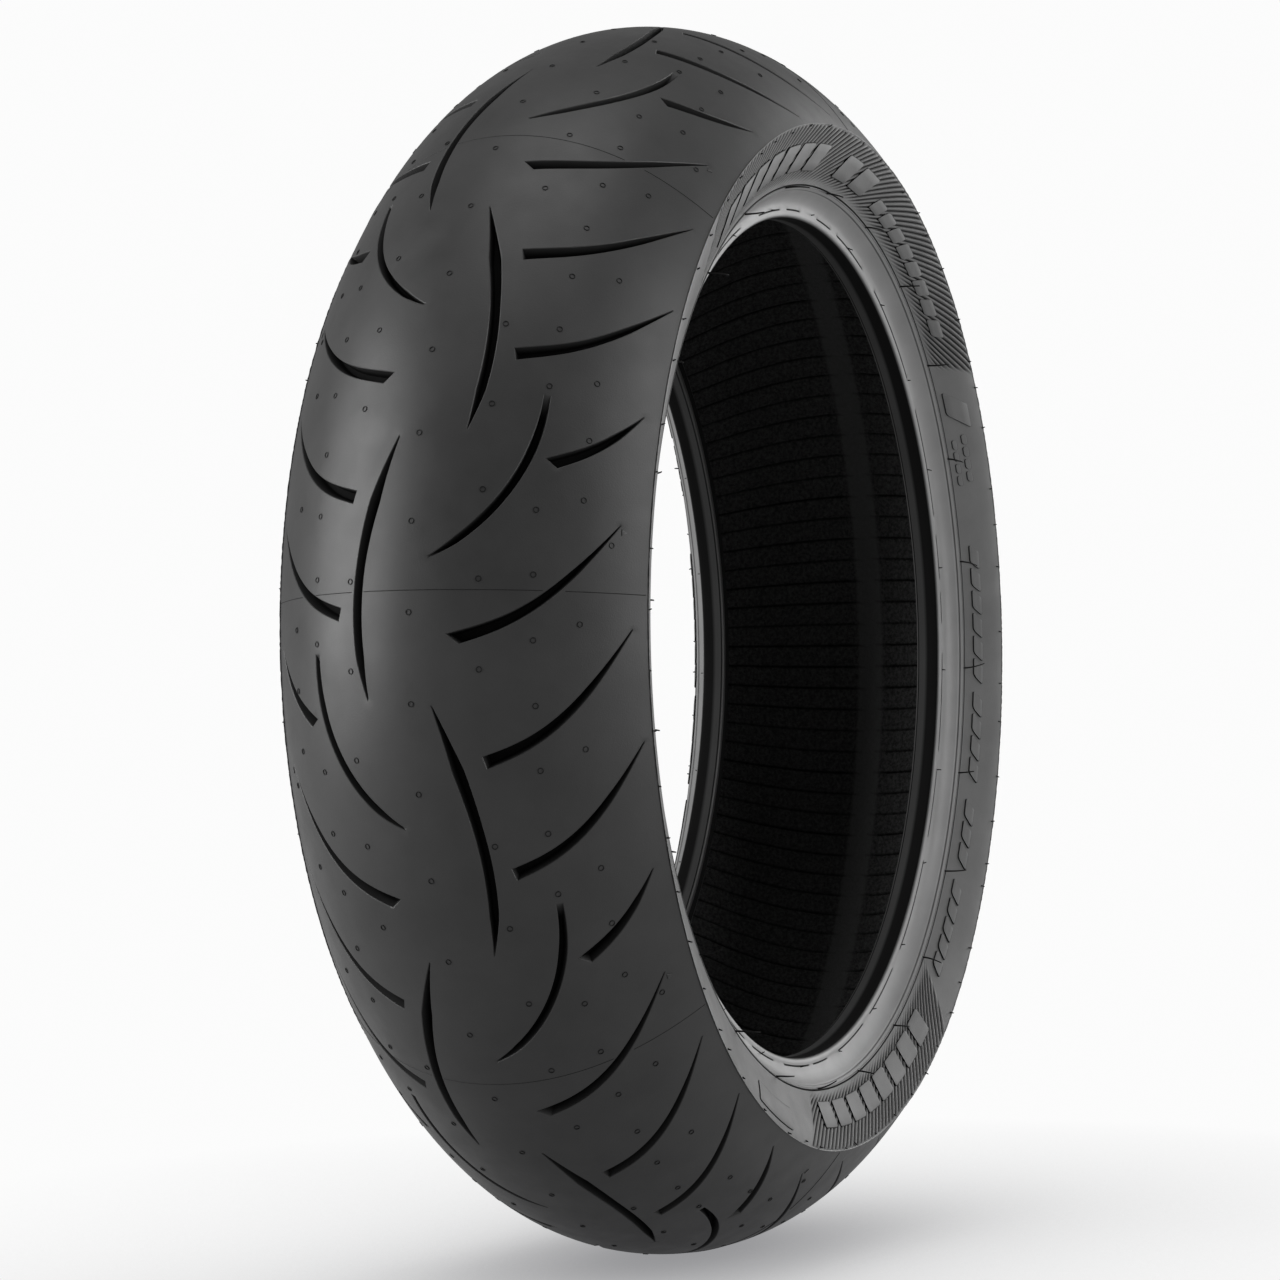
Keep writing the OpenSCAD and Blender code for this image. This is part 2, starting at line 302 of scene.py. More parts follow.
def tread_sheet(grooves):
    """Triangles of the tread surface between the grooves, for one pitch.

    Returns the points of one pitch, and the triangles as pairs of point and pitch shift."""
    length_step = 2 * HALF_LENGTH / GRID_ACROSS
    round_step = PITCH_LEN / GRID_ROUND
    lips = [rings[0][0] for rings, _ in grooves]
    all_lips = np.concatenate([lip + (shift * PITCH_LEN, 0) for lip in lips for shift in NEAR_PITCHES])
    grid = []
    for j in range(GRID_ACROSS + 1):
        edge = j in (0, GRID_ACROSS)
        stagger = 0 if edge else 0.5 * (j % 2)
        for i in range(GRID_ROUND):
            grid.append(((i + stagger) * round_step, -HALF_LENGTH + j * length_step, edge))
    grid = np.array(grid)
    place, on_edge = grid[:, :2], grid[:, 2] > 0
    free = np.ones(len(place), bool)
    for lip in lips:
        for shift in NEAR_PITCHES:
            moved = lip + (shift * PITCH_LEN, 0)
            free &= ~inside(place, moved)
    for block in np.array_split(np.arange(len(place)), 20):
        gap = np.min(np.linalg.norm(place[block][:, None] - all_lips[None], axis=2), axis=1)
        free[block] &= gap > CLEAR
    free |= on_edge
    canon = list(place[free])
    n_grid = len(canon)
    lip_start = []
    for lip in lips:
        lip_start.append(len(canon))
        canon.extend(lip)
    canon = np.array(canon)
    points, keys, shifts, edges = [], [], [], []
    for shift in NEAR_PITCHES:
        base = len(points)
        points.extend(canon + (shift * PITCH_LEN, 0))
        keys.extend(range(len(canon)))
        shifts.extend([shift] * len(canon))
        for lip, start in zip(lips, lip_start):
            n = len(lip)
            edges.extend((base + start + k, base + start + (k + 1) % n) for k in range(n))
    in_mm = [Vector((p[0] / MM, p[1] / MM)) for p in points]
    flat_out, _, faces, origin, *_ = delaunay_2d_cdt(in_mm, edges, [], 0, 1e-6)
    tri = np.array([f for f in faces if len(f) == 3])
    xy = np.array([(v[0], v[1]) for v in flat_out]) * MM
    middle = xy[tri].mean(axis=1)
    keep = (middle[:, 0] >= 0) & (middle[:, 0] < PITCH_LEN)
    tri, middle = tri[keep], middle[keep]
    hole = np.zeros(len(tri), bool)
    for lip in lips:
        for shift in NEAR_PITCHES:
            hole |= inside(middle, lip + (shift * PITCH_LEN, 0))
    tri = tri[~hole]
    source = [o[0] if o else -1 for o in origin]
    faces = [[(keys[source[v]], shifts[source[v]]) for v in t] for t in tri]
    return canon, faces, lip_start, n_grid


def build_tread():
    grooves = pitch_grooves()
    canon, faces, lip_start, n_grid = tread_sheet(grooves)
    pitch_points = [canon]
    pitch_depth = [np.zeros(len(canon))]
    ring_start = []
    size = len(canon)
    for (rings, count), lip in zip(grooves, lip_start):
        starts = [lip]
        for ring, depth in rings[1:]:
            starts.append(size)
            pitch_points.append(ring)
            pitch_depth.append(np.full(len(ring), depth))
            size += len(ring)
        ring_start.append(starts)
    flat_points = np.concatenate(pitch_points)
    depth = np.concatenate(pitch_depth)
    local = []
    for (rings, count), starts in zip(grooves, ring_start):
        n = 2 * count
        for upper, lower in zip(starts, starts[1:]):
            local.extend([(upper + k, 0), (upper + (k + 1) % n, 0), (lower + (k + 1) % n, 0), (lower + k, 0)]
                         for k in range(n))
        floor = starts[-1]
        local.extend([(floor + k, 0), (floor + k + 1, 0), (floor + n - 2 - k, 0), (floor + n - 1 - k, 0)]
                     for k in range(count - 1))
    all_points, all_faces = [], []
    across = across_at(flat_points[:, 1])
    for pitch in range(PITCHES):
        turn = PATTERN_TURN + pitch * STEP + flat_points[:, 0] / CROWN_R
        all_points.append(on_tread(turn, across, depth))
        for face in faces + local:
            all_faces.append([key + size * ((shift + pitch) % PITCHES) for key, shift in face])
    top = np.concatenate(all_points)

    # The underside of the cap, joined to the two edges of the tread
    columns = PITCHES * GRID_ROUND
    turn = PATTERN_TURN + np.arange(columns) * 2 * math.pi / columns
    lengths = [-HALF_LENGTH + 2 * HALF_LENGTH * j / CAP_ROWS for j in range(CAP_ROWS + 1)]
    rows = [across_at(np.full(columns, length)) for length in lengths]
    under = np.concatenate([on_tread(turn, row, cap_depth(row)) for row in rows])
    base = len(top)
    all_faces.extend(grid_faces(CAP_ROWS + 1, columns, start=base))
    top_under = base + CAP_ROWS * columns
    first_row = np.arange(GRID_ROUND)
    last_row = n_grid - GRID_ROUND + np.arange(GRID_ROUND)
    for column in range(columns):
        nxt = (column + 1) % columns
        low = [first_row[c % GRID_ROUND] + size * (c // GRID_ROUND) for c in (column, nxt)]
        high = [last_row[c % GRID_ROUND] + size * (c // GRID_ROUND) for c in (column, nxt)]
        all_faces.append([low[0], low[1], base + nxt, base + column])
        all_faces.append([high[0], high[1], top_under + nxt, top_under + column])
    # Painted shade in the grooves, full below a small depth; the underside has none
    shade = np.tile(np.clip(depth / PAINTED_SHADE_BELOW, 0, 1), PITCHES)
    shade = np.concatenate([shade, np.zeros(len(under))])
    piece = add_mesh("grooved_tread", np.concatenate([top, under]), all_faces, 38, shade)
    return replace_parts(piece, "tread_cap")


# ---- sidewall profile ------------------------------------------------------------------
def bead(inwards, up):
    """A point given from the bead's outer face and its seat."""
    return (BEAD_FACE - inwards, SEAT_R + up)


SIDE_BEND = ((HALF_W - 1.6 * MM, EDGE_R - 9 * MM), (BEAD_FACE + 12.6 * MM, SEAT_R + 24 * MM))


def side_at(down):
    """Sidewall points, down 0 at the tread edge and 1 at the rim line."""
    return curve((HALF_W, EDGE_R), SIDE_BEND[0], SIDE_BEND[1], RIM_LINE, down)


def flange_at(down):
    """Bead points, down 0 at the rim line and 1 at the heel."""
    return curve(RIM_LINE, bead(-5.4 * MM, 12.6 * MM), bead(-0.2 * MM, 10 * MM), bead(0, HEEL_R), down)


def offset(line_at, down, out):
    """Points that stand out from a profile, measured square to it."""
    down = np.asarray(down, float)
    slope = line_at(np.minimum(down + 0.005, 1)) - line_at(np.maximum(down - 0.005, 0))
    slope /= np.linalg.norm(slope, axis=-1)[..., None]
    normal = np.stack([-slope[..., 1], slope[..., 0]], -1)
    return line_at(down) + np.asarray(out, float)[..., None] * normal


def side_point(side, turn, down, out=0.0):
    """Points on a sidewall in space."""
    turn, down, out = np.broadcast_arrays(turn, down, out)
    line = offset(side_at, down, out)
    return around(turn, SIDES[side] * line[..., 0], line[..., 1])


# Shares of the way down the sidewall, and how thick its rubber and the whole wall are there
SIDE_SHARES = [0.0, 0.4, 0.58, 0.8, 1.0]
RUBBER_T = [6.0 * MM, 5.0 * MM, 4.0 * MM, 3.6 * MM, 3.2 * MM]


# ---- ridged sidewalls ------------------------------------------------------------------
SIDE_COLUMNS = 1800
RIDGE_COLUMNS = 6
RIDGE_H = 0.75 * MM
# Lean of the ridges in degrees, and how it differs between the upper and the lower sector
RIDGE_LEAN, LEAN_GROWTH = (8.0, 3.0), (6.5, -1.5)
UPPER_SECTOR = math.radians(97)
SECTOR_LEAN = math.radians(-6.5)
SECTOR_EDGE = math.radians(0.3)
RIDGED_SECTORS = [(math.radians(50), math.radians(145)), (math.radians(-125), math.radians(-77))]
FINE_GROOVE = 0.5 * MM
RIB_H = 0.3 * MM
SIDE_ROWS = 24


def ridge_turn(column, down):
    """How far a ridge has turned about the axle on its way down the sidewall."""
    upper = np.cos(column - UPPER_SECTOR)
    lean = RIDGE_LEAN[0] + RIDGE_LEAN[1] * upper
    growth = LEAN_GROWTH[0] + LEAN_GROWTH[1] * upper
    return -np.radians(lean * down + growth * down ** 2)


def sector_mask(turn, down):
    """1 inside a ridged sector and 0 outside."""
    mask = np.zeros_like(turn)
    for start, end in RIDGED_SECTORS:
        middle, half = (start + end) / 2 + SECTOR_LEAN * down, (end - start) / 2
        gap = np.abs((turn - middle + math.pi) % (2 * math.pi) - math.pi)
        mask = np.maximum(mask, np.clip((half - gap) / SECTOR_EDGE + 0.5, 0, 1))
    return mask


def build_sidewall(side):
    down = np.linspace(0, 0.93, SIDE_ROWS)
    down = np.concatenate([down, [0.943, 0.952, 0.968, 0.976, 1.0]])
    step = np.concatenate([np.zeros(SIDE_ROWS), [0, -FINE_GROOVE, -FINE_GROOVE, RIB_H, RIB_H]])
    column = np.arange(SIDE_COLUMNS) * 2 * math.pi / SIDE_COLUMNS
    turn = column[None, :] + ridge_turn(column[None, :], down[:, None])
    wave = np.clip(0.9 * np.abs(np.arange(SIDE_COLUMNS) % RIDGE_COLUMNS - RIDGE_COLUMNS / 2), 0, 2) / 2
    fade = np.clip((0.9 - down) / 0.12, 0, 1) * np.clip(down / 0.03, 0, 1)
    ridged = fade[:, None] * sector_mask(turn, down[:, None])
    lift = RIDGE_H * (wave[None, :] - 0.5) * ridged
    # Painted shade in the valleys between the ridges and in the fine groove by the rim line
    deep = (1 - wave[None, :]) * ridged + (step[:, None] < 0)
    outer = side_point(side, turn, np.broadcast_to(down[:, None], turn.shape), step[:, None] + lift)
    back = np.array([1.0, 0.8, 0.6, 0.4, 0.2, 0.0])
    depth = -np.interp(back, SIDE_SHARES, RUBBER_T)
    back_turn = column[None, :] + ridge_turn(column[None, :], back[:, None])
    inner = side_point(side, back_turn, np.broadcast_to(back[:, None], back_turn.shape), depth[:, None])
    points = np.concatenate([outer, inner]).reshape(-1, 3)
    rows = len(down) + len(back)
    faces = grid_faces(rows, SIDE_COLUMNS, wrap_rows=True)
    shade = np.concatenate([deep.ravel(), np.zeros(len(back) * SIDE_COLUMNS)])
    piece = add_mesh(f"ridged_sidewall_{side}", points, faces, 50, shade)
    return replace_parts(piece, f"sidewall_{side}")


def revolved(name, section, columns, crease, deep):
    """A closed ring from a closed section, given as [row][column] of (across, radius) points."""
    turn = np.arange(columns) * 2 * math.pi / columns
    points = around(turn[None, :], section[..., 0], section[..., 1]).reshape(-1, 3)
    return add_mesh(name, points, grid_faces(len(section), columns, wrap_rows=True), crease, deep)


BEAD_COLUMNS = 720
SKIN = {"in1": 12.1 * MM, "out1": 3.1 * MM, "face": 2.0 * MM, "seat": 1.3 * MM, "foot": 4 * MM}


def build_rim_strip(side):
    """The lighter flank of a bead, with a raised strip at the rim line, and its seat and heel darkened by
    painted shade.
    """
    down = [0.0, 0.055, 0.11, 0.135, 0.16, 0.18, 0.24, 0.32, 0.4, 0.48, 0.56, 0.64, 0.72, 0.8, 0.9,
            0.915, 0.94, 0.955, 0.965, 0.98, 1.0]
    step = [RIB_H] * 3 + [-0.1 * MM] * 2 + [0] * 10 + [-0.3 * MM] * 2 + [0] * 4
    outer = offset(flange_at, down, step)
    bend = np.radians(np.arange(15, 91, 15))
    heel = [bead(HEEL_R - HEEL_R * math.cos(b), HEEL_R - HEEL_R * math.sin(b)) for b in bend]
    seat = [bead(x * MM, 0) for x in (5, 7, 9, 11)]
    back = [bead(SKIN["in1"], 0), bead(SKIN["in1"], SKIN["seat"]), bead(SKIN["out1"], SKIN["seat"]),
            bead(SKIN["out1"], SKIN["foot"]), bead(SKIN["face"], SKIN["foot"]), bead(SKIN["face"], 8.3 * MM),
            tuple(offset(side_at, 1.0, -3.2 * MM))]
    section = np.array([tuple(p) for p in outer] + heel + seat + back) * (SIDES[side], 1)
    section = np.repeat(section[:, None], BEAD_COLUMNS, axis=1)
    deep = np.zeros(section.shape[:2])
    # Painted shade on the small step down from the raised strip
    deep[3:5] = 0.45
    # The fine line by the bead is broken into dashes of uneven length, which painted shade darkens
    line_rows = slice(15, 17)
    rng = random.Random(31 if side == "left" else 32)
    dash, drawn = [], True
    while len(dash) < BEAD_COLUMNS:
        length = rng.randint(8, 40) if drawn else rng.randint(3, 14)
        dash += [float(drawn)] * length
        drawn = not drawn
    dash = np.array(dash[:BEAD_COLUMNS])[None, :]
    plain = offset(flange_at, down[line_rows], 0.0) * (SIDES[side], 1)
    section[line_rows] = plain[:, None] + (section[line_rows] - plain[:, None]) * dash[..., None]
    deep[line_rows] = dash
    # Painted shade round the heel and along the seat, a little lighter towards the toe
    turned_in = len(down) + 2
    deep[turned_in] = 0.6
    deep[turned_in + 1:turned_in + 6] = 1
    deep[turned_in + 6:turned_in + 9] = 0.86
    piece = revolved(f"bead_flank_{side}", section, BEAD_COLUMNS, 40, deep)
    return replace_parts(piece, f"rim_strip_{side}")


def build_toe(side):
    """The thin inner edge of a bead, darkened by painted shade but for its rounded lip."""
    section = [bead(SKIN["in1"], 0), bead(SKIN["in1"] + 0.6 * MM, 0), bead(TOE - 0.6 * MM, 0.2 * MM),
               bead(TOE - 0.1 * MM, 0.6 * MM), bead(TOE + 0.1 * MM, 1.2 * MM), bead(TOE + 0.1 * MM, 3 * MM),
               bead(TOE, 3.3 * MM), bead(TOE, 5.5 * MM), bead(TOE, 8.5 * MM), bead(SKIN["in1"], 8.5 * MM)]
    deep = np.ones((len(section), BEAD_COLUMNS))
    deep[2:6] = 0.0
    section = np.repeat((np.array(section) * (SIDES[side], 1))[:, None], BEAD_COLUMNS, axis=1)
    piece = revolved(f"bead_toe_{side}", section, BEAD_COLUMNS, 35, deep)
    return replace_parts(piece, f"toe_strip_{side}")


# ---- inner liner -----------------------------------------------------------------------
LINER_GROOVES = 150
GROOVE_COLUMNS = 10
LINER_COLUMNS = GROOVE_COLUMNS * LINER_GROOVES
LINER_ROWS = 60
PLY_T, LINER_T, BASE_T, BELT_T = 1.1 * MM, 1.5 * MM, 1.5 * MM, 1.3 * MM
FILLER_T = [0.0, 0.0, 2.0 * MM, 5.1 * MM]
LINER_GROOVE = 0.95 * MM
SMOOTH_BAND = (6.5 * MM, 8.5 * MM)
CRINKLE = 0.22 * MM


def half_cavity():
    """Points of the cavity side of the liner, from the crown to the bead."""
    share = np.linspace(0, 1, 17)
    across = HALF_W * share
    depth = (cap_depth(across) + BASE_T * (1 - np.clip((share * 16 - 13) / 2, 0, 1))
             + BELT_T * (1 - np.clip((share * 16 - 14) / 2, 0, 1)))
    tilt = np.arctan(tread_slope(across))
    crown = np.stack([across - depth * np.sin(tilt), tread_r(across) - depth * np.cos(tilt)], -1)
    side = offset(side_at, SIDE_SHARES[1:], -np.array(RUBBER_T[1:]))
    carcass = np.concatenate([crown, side, [bead(SKIN["face"], 8.3 * MM)]])
    slope = carcass[2:] - carcass[:-2]
    slope /= np.linalg.norm(slope, axis=1)[:, None]
    normal = np.concatenate([[[0.0, 1.0]], np.stack([-slope[:, 1], slope[:, 0]], -1)])
    wall = np.concatenate([np.zeros(len(crown)), FILLER_T]) + 2 * PLY_T + LINER_T
    cavity = carcass[:-1] - wall[:, None] * normal
    return np.concatenate([cavity, [bead(TOE, 11 * MM), bead(TOE, 8.5 * MM)]])


def build_liner():
    """The inside skin, with moulded grooves on both sides of a smooth middle band."""
    half = half_cavity()
    line = np.concatenate([half[:0:-1] * (-1, 1), half])
    run = np.concatenate([[0], np.cumsum(np.hypot(*np.diff(line, axis=0).T))])
    place = np.linspace(0, run[-1], LINER_ROWS)
    smooth = np.stack([np.interp(place, run, line[:, k]) for k in (0, 1)], -1)
    slope = np.gradient(smooth, axis=0)
    slope /= np.linalg.norm(slope, axis=1)[:, None]
    normal = np.stack([-slope[:, 1], slope[:, 0]], -1)
    middle = np.abs(place - run[-1] / 2)
    band = np.clip((middle - SMOOTH_BAND[0]) / (SMOOTH_BAND[1] - SMOOTH_BAND[0]), 0, 1)
    band *= np.clip((run[-1] / 2 - middle - 16 * MM) / (6 * MM), 0, 1)
    groove = (np.arange(LINER_COLUMNS) % GROOVE_COLUMNS == 0).astype(float)
    rng = np.random.default_rng(7)
    strength = rng.uniform(0.7, 1.0, LINER_GROOVES).repeat(GROOVE_COLUMNS)
    crinkle = rng.uniform(-1, 1, (LINER_ROWS, LINER_COLUMNS)) * CRINKLE
    cut = band[:, None] * (groove * strength)[None, :]
    lift = band[:, None] * crinkle - LINER_GROOVE * cut
    turn = np.arange(LINER_COLUMNS) * 2 * math.pi / LINER_COLUMNS
    face = smooth[:, None, :] - lift[..., None] * normal[:, None, :]
    front = around(turn[None, :], face[..., 0], face[..., 1])
    keep = np.linspace(LINER_ROWS - 1, 0, 20).astype(int)
    behind = smooth[keep] + LINER_T * normal[keep]
    back = around(turn[None, :], behind[:, 0][:, None], behind[:, 1][:, None])
    points = np.concatenate([front, back]).reshape(-1, 3)
    rows = LINER_ROWS + len(keep)
    # Painted shade in the moulded grooves
    shade = np.concatenate([cut.ravel(), np.zeros(len(keep) * LINER_COLUMNS)])
    faces = grid_faces(rows, LINER_COLUMNS, wrap_rows=True)
    piece = add_mesh("ribbed_liner", points, faces, 60, shade)
    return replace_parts(piece, "inner_liner")


# ---- small mouldings -------------------------------------------------------------------
class Batch:
    """Collects many small closed shapes into one mesh."""

    def __init__(self):
        self.points, self.faces, self.deep = [], [], []

    def add(self, points, faces, deep=None):
        start = len(self.points)
        self.points.extend(tuple(p) for p in np.asarray(points).reshape(-1, 3))
        self.faces.extend([v + start for v in f] for f in faces)
        added = len(self.points) - start
        self.deep.extend(np.zeros(added) if deep is None else np.asarray(deep).ravel())

    def strip(self, grid, closed=False, deep=None):
        """A grid of points whose rows wrap into a tube. The first and last columns are capped."""
        grid = np.asarray(grid)
        rows, columns = grid.shape[:2]
        faces = grid_faces(rows, columns, wrap_rows=True, wrap_columns=closed)
        if not closed:
            faces.append([r * columns for r in range(rows)])
            faces.append([(rows - 1 - r) * columns + columns - 1 for r in range(rows)])
        self.add(grid, faces, deep)

    def make(self, name, crease=35):
        return add_mesh(name, self.points, self.faces, crease, self.deep)


OUTLINES = [rings[0][0] for rings, _ in pitch_grooves()]


def clear_of_grooves(round_pos, length, gap):
    """Whether a point of the flat tread keeps this far from every groove."""
    spot = np.array([[round_pos % PITCH_LEN, length]])
    for outline in OUTLINES:
        for shift in NEAR_PITCHES:
            moved = outline + (shift * PITCH_LEN, 0)
            if np.min(np.linalg.norm(moved - spot, axis=1)) < gap or inside(spot, moved)[0]:
                return False
    return True


VENT_R = 1.25 * MM
VENT_EDGE = 0.46 * MM
VENT_H = 0.3 * MM
# Rows of vent rings: length across the surface in mm, how many per pitch, and where they start
VENT_ROWS = [(0, 6, -0.04), (33, 6, 0.02), (58, 8, 0.03), (80, 8, 0.06), (95, 4, 0.1)]


def build_vents():
    """Small raised rings that the mould's air vents leave on the tread."""
    batch = Batch()
    ring = np.linspace(0, 2 * math.pi, 15)[:-1]
    profile = [(-0.5, -0.1), (0.5, -0.1), (0.35, 1.0), (-0.35, 1.0)]
    for length_mm, count, start in VENT_ROWS:
        for half in ((1,) if length_mm == 0 else (1, -1)):
            for n in range(count):
                place = (n / count + start + (0 if half == 1 else 0.5)) * PITCH_LEN
                length = half * length_mm * MM
                if not clear_of_grooves(place, length, VENT_R + 0.8 * MM):
                    continue
                squeeze = tread_r(across_at(length)) / CROWN_R
                for pitch in range(PITCHES):
                    grid = []
                    start_turn = PATTERN_TURN + pitch * STEP
                    for out, up in profile:
                        radius = VENT_R + out * VENT_EDGE
                        turn = start_turn + (place + radius * np.cos(ring) / squeeze) / CROWN_R
                        across = across_at(length + radius * np.sin(ring))
                        grid.append(on_tread(turn, across, -up * VENT_H))
                    batch.strip(grid, closed=True)
    return batch.make("tread_vent_rings")


SEAM_W = 0.42 * MM
SEAM_H = 0.18 * MM
SEAM_PIECE = 1.5 * MM


def build_seams():
    """Fine ridges that the joints between the mould's segments leave across the tread."""
    batch = Batch()
    lengths = np.arange(-HALF_LENGTH + 0.5 * MM, HALF_LENGTH, SEAM_PIECE)
    free = [clear_of_grooves(0.0, s, 0.7 * MM) for s in lengths]
    runs, run = [], []
    for length, ok in zip(lengths, free):
        if ok:
            run.append(length)
        elif run:
            runs.append(run)
            run = []
    runs.append(run)
    for pitch in range(PITCHES):
        turn = PATTERN_TURN + pitch * STEP
        for run in runs:
            if len(run) < 3:
                continue
            across = across_at(np.array(run))
            radius = tread_r(across)
            grid = []
            for out, up in ((-0.5, -0.3), (0.5, -0.3), (0.0, 1.0)):
                grid.append(on_tread(turn + out * SEAM_W / radius, across, -up * SEAM_H))
            batch.strip(grid)
    return batch.make("tread_seams")


EDGE_FIN = 0.55 * MM
FIN_COLUMNS = 1080


def build_edge_fin(side):
    """Thin flash with small teeth along the joint between the tread and the sidewall."""
    rng = random.Random(11 if side == "left" else 12)
    turn = np.arange(FIN_COLUMNS) * 2 * math.pi / FIN_COLUMNS
    reach = EDGE_FIN * (0.55 + 0.45 * np.array([rng.random() for _ in range(FIN_COLUMNS)]))
    sign = SIDES[side]
    rows = [around(turn, sign * (HALF_W - 0.5 * MM), EDGE_R + 0.1 * MM),
            around(turn, sign * (HALF_W + 0.75 * reach), EDGE_R + 0.15 * MM + 0.65 * reach),
            around(turn, sign * (HALF_W + 0.8 * reach), EDGE_R - 0.1 * MM + 0.65 * reach),
            around(turn, sign * (HALF_W - 0.5 * MM), EDGE_R - 0.6 * MM)]
    batch = Batch()
    batch.strip(np.array(rows), closed=True)
    return batch.make(f"edge_flash_{side}", crease=70)


def hair(batch, root, direction, length, bend, thick):
    """A thin moulding whisker that tapers and bends."""
    direction = np.array(direction) / np.linalg.norm(direction)
    side_a = np.cross(direction, (0.31, 0.27, 0.91))
    side_a /= np.linalg.norm(side_a)
    side_b = np.cross(direction, side_a)
    corner = np.linspace(0, 2 * math.pi, 6)[:-1]
    rows = []
    for t in np.linspace(0, 1, 6):
        centre = root + direction * length * t + (side_a * bend[0] + side_b * bend[1]) * length * t * t
        radius = thick * (1 - 0.4 * t)
        rows.append([centre + radius * (math.cos(c) * side_a + math.sin(c) * side_b) for c in corner])
    batch.strip(np.array(rows).transpose(1, 0, 2))


HAIR_R = 0.55 * MM
HAIR_START = math.radians(3.7)
# Whiskers nearer than this to the foremost point, or on the other side the rearmost, are short
RUBBED_SHORT = math.cos(math.radians(39))
LONG_HAIR, SHORT_HAIR, BEAD_HAIR, EDGE_HAIR = 11.5 * MM, 3 * MM, 2.6 * MM, 2.3 * MM


def build_hairs(side):
    """Whiskers from the mould's air vents, along the rim line, the bead and the tread edge."""
    batch = Batch()
    rng = random.Random(21 if side == "left" else 22)
    sign = SIDES[side]

    def grow(turn, across, radius, tilt, length, thick):
        root = around(turn, sign * (across - 0.4 * MM), radius)
        outwards = np.array([math.cos(turn), 0, math.sin(turn)])
        direction = np.array([0, sign, 0]) * math.cos(tilt) + outwards * math.sin(tilt)
        bend = (rng.uniform(-0.2, 0.2), rng.uniform(-0.2, 0.2))
        hair(batch, root, direction, length * rng.uniform(0.8, 1.15), bend, thick)

    for n in range(24):
        turn = HAIR_START + n * math.radians(15)
        across, radius = side_at(0.985)
        length = SHORT_HAIR if sign * math.cos(turn) > RUBBED_SHORT else LONG_HAIR
        grow(turn, across, radius, rng.uniform(-0.2, 0.2), length, HAIR_R)
        across, radius = flange_at(0.9)
        grow(turn + math.radians(0.4), across, radius, rng.uniform(-0.4, 0.1), BEAD_HAIR, HAIR_R * 0.7)
    for n in range(60):
        turn = HAIR_START + (n + rng.uniform(-0.3, 0.3)) * math.radians(6)
        across, radius = side_at(rng.uniform(0.03, 0.1))
        grow(turn, across, radius, rng.uniform(0.2, 0.7), EDGE_HAIR, HAIR_R * 0.9)
    return batch.make(f"vent_whiskers_{side}", crease=80)


SIDE_LENGTH = math.dist((HALF_W, EDGE_R), RIM_LINE)
PLATE_CORNER = 1.6 * MM
PLATE_BEVEL = 0.5 * MM
BLOCK_GAP = 0.2


def plate(batch, side, turns, downs, height, lean):
    """A blank raised plate on a sidewall, with rounded corners and bevelled edges."""
    start, end = (math.radians(t) for t in turns)
    length = abs(end - start) * (EDGE_R + RIM_LINE[1]) / 2
    middle, half = (downs[0] + downs[1]) / 2, (downs[1] - downs[0]) / 2
    corner = PLATE_CORNER * (1 - np.cos(np.linspace(0, math.pi / 2, 6)))
    count = max(2, int(length / (2.2 * MM)))
    place = np.concatenate([corner, np.linspace(PLATE_CORNER, length - PLATE_CORNER, count + 1)[1:-1],
                            length - corner[::-1]])
    near_end = np.minimum(place, length - place) / PLATE_CORNER
    cut = PLATE_CORNER * (1 - np.sqrt(1 - (1 - np.clip(near_end, 0, 1)) ** 2))
    turn = start + (end - start) * place / length
    grid, deep = [], []
    for edge, up, inset in ((-1, -0.5, 0.0), (-1, 0.7, 0.0), (-1, 1.0, PLATE_BEVEL), (-0.33, 1.0, 0.0),
                            (0.33, 1.0, 0.0), (1, 1.0, PLATE_BEVEL), (1, 0.7, 0.0), (1, -0.5, 0.0)):
        reach = half - (cut + inset) / SIDE_LENGTH
        down = middle + edge * reach
        leaned = turn + math.radians(lean) * (down - middle)
        grid.append(side_point(side, leaned, down, up * height))
        # Painted shade on the plate's sides and at its very ends, none on its top
        deep.append(np.where(near_end > 0.02, 0.0 if up == 1.0 else 1.0, 1.0))
    batch.strip(np.array(grid), deep=np.array(deep))


# Rows of blank blocks where a maker would put marks: first and last turn in degrees, number of
# blocks, share of the way down, height, lean in degrees
BLOCKS = [(52, 88, 7, (0.30, 0.72), 0.9 * MM, -8), (93.5, 105, 2, (0.30, 0.72), 0.9 * MM, -8),
          (107, 136.5, 8, (0.48, 0.72), 0.8 * MM, -8), (-123, -83, 8, (0.36, 0.76), 0.9 * MM, -1),
          (146, 149.5, 1, (0.33, 0.82), 0.7 * MM, -8), (151.5, 158.5, 4, (0.47, 0.60), 0.5 * MM, -4),
          (151.5, 158.5, 4, (0.70, 0.82), 0.5 * MM, -4), (167, 185.5, 6, (0.53, 0.74), 0.8 * MM, -6),
          (187, 199, 4, (0.53, 0.74), 0.8 * MM, -6), (202, 211.5, 3, (0.53, 0.74), 0.8 * MM, -6),
          (214, 229, 5, (0.53, 0.74), 0.8 * MM, -6), (-72, -61, 1, (0.12, 0.50), 0.5 * MM, -3)]


def build_plates(side):
    """All the blank blocks of a sidewall."""
    batch = Batch()
    for first, last, count, downs, height, lean in BLOCKS:
        share = (last - first) / count
        gap = BLOCK_GAP / 2 if count > 1 else 0.0
        for n in range(count):
            turns = (first + share * (n + gap), first + share * (n + 1 - gap))
            plate(batch, side, turns, downs, height, lean)
    return batch.make(f"blank_plates_{side}", crease=40)


MARK_SIZE, MARK_H = 2.6 * MM, 0.35 * MM
MARK_LENGTH = 101 * MM


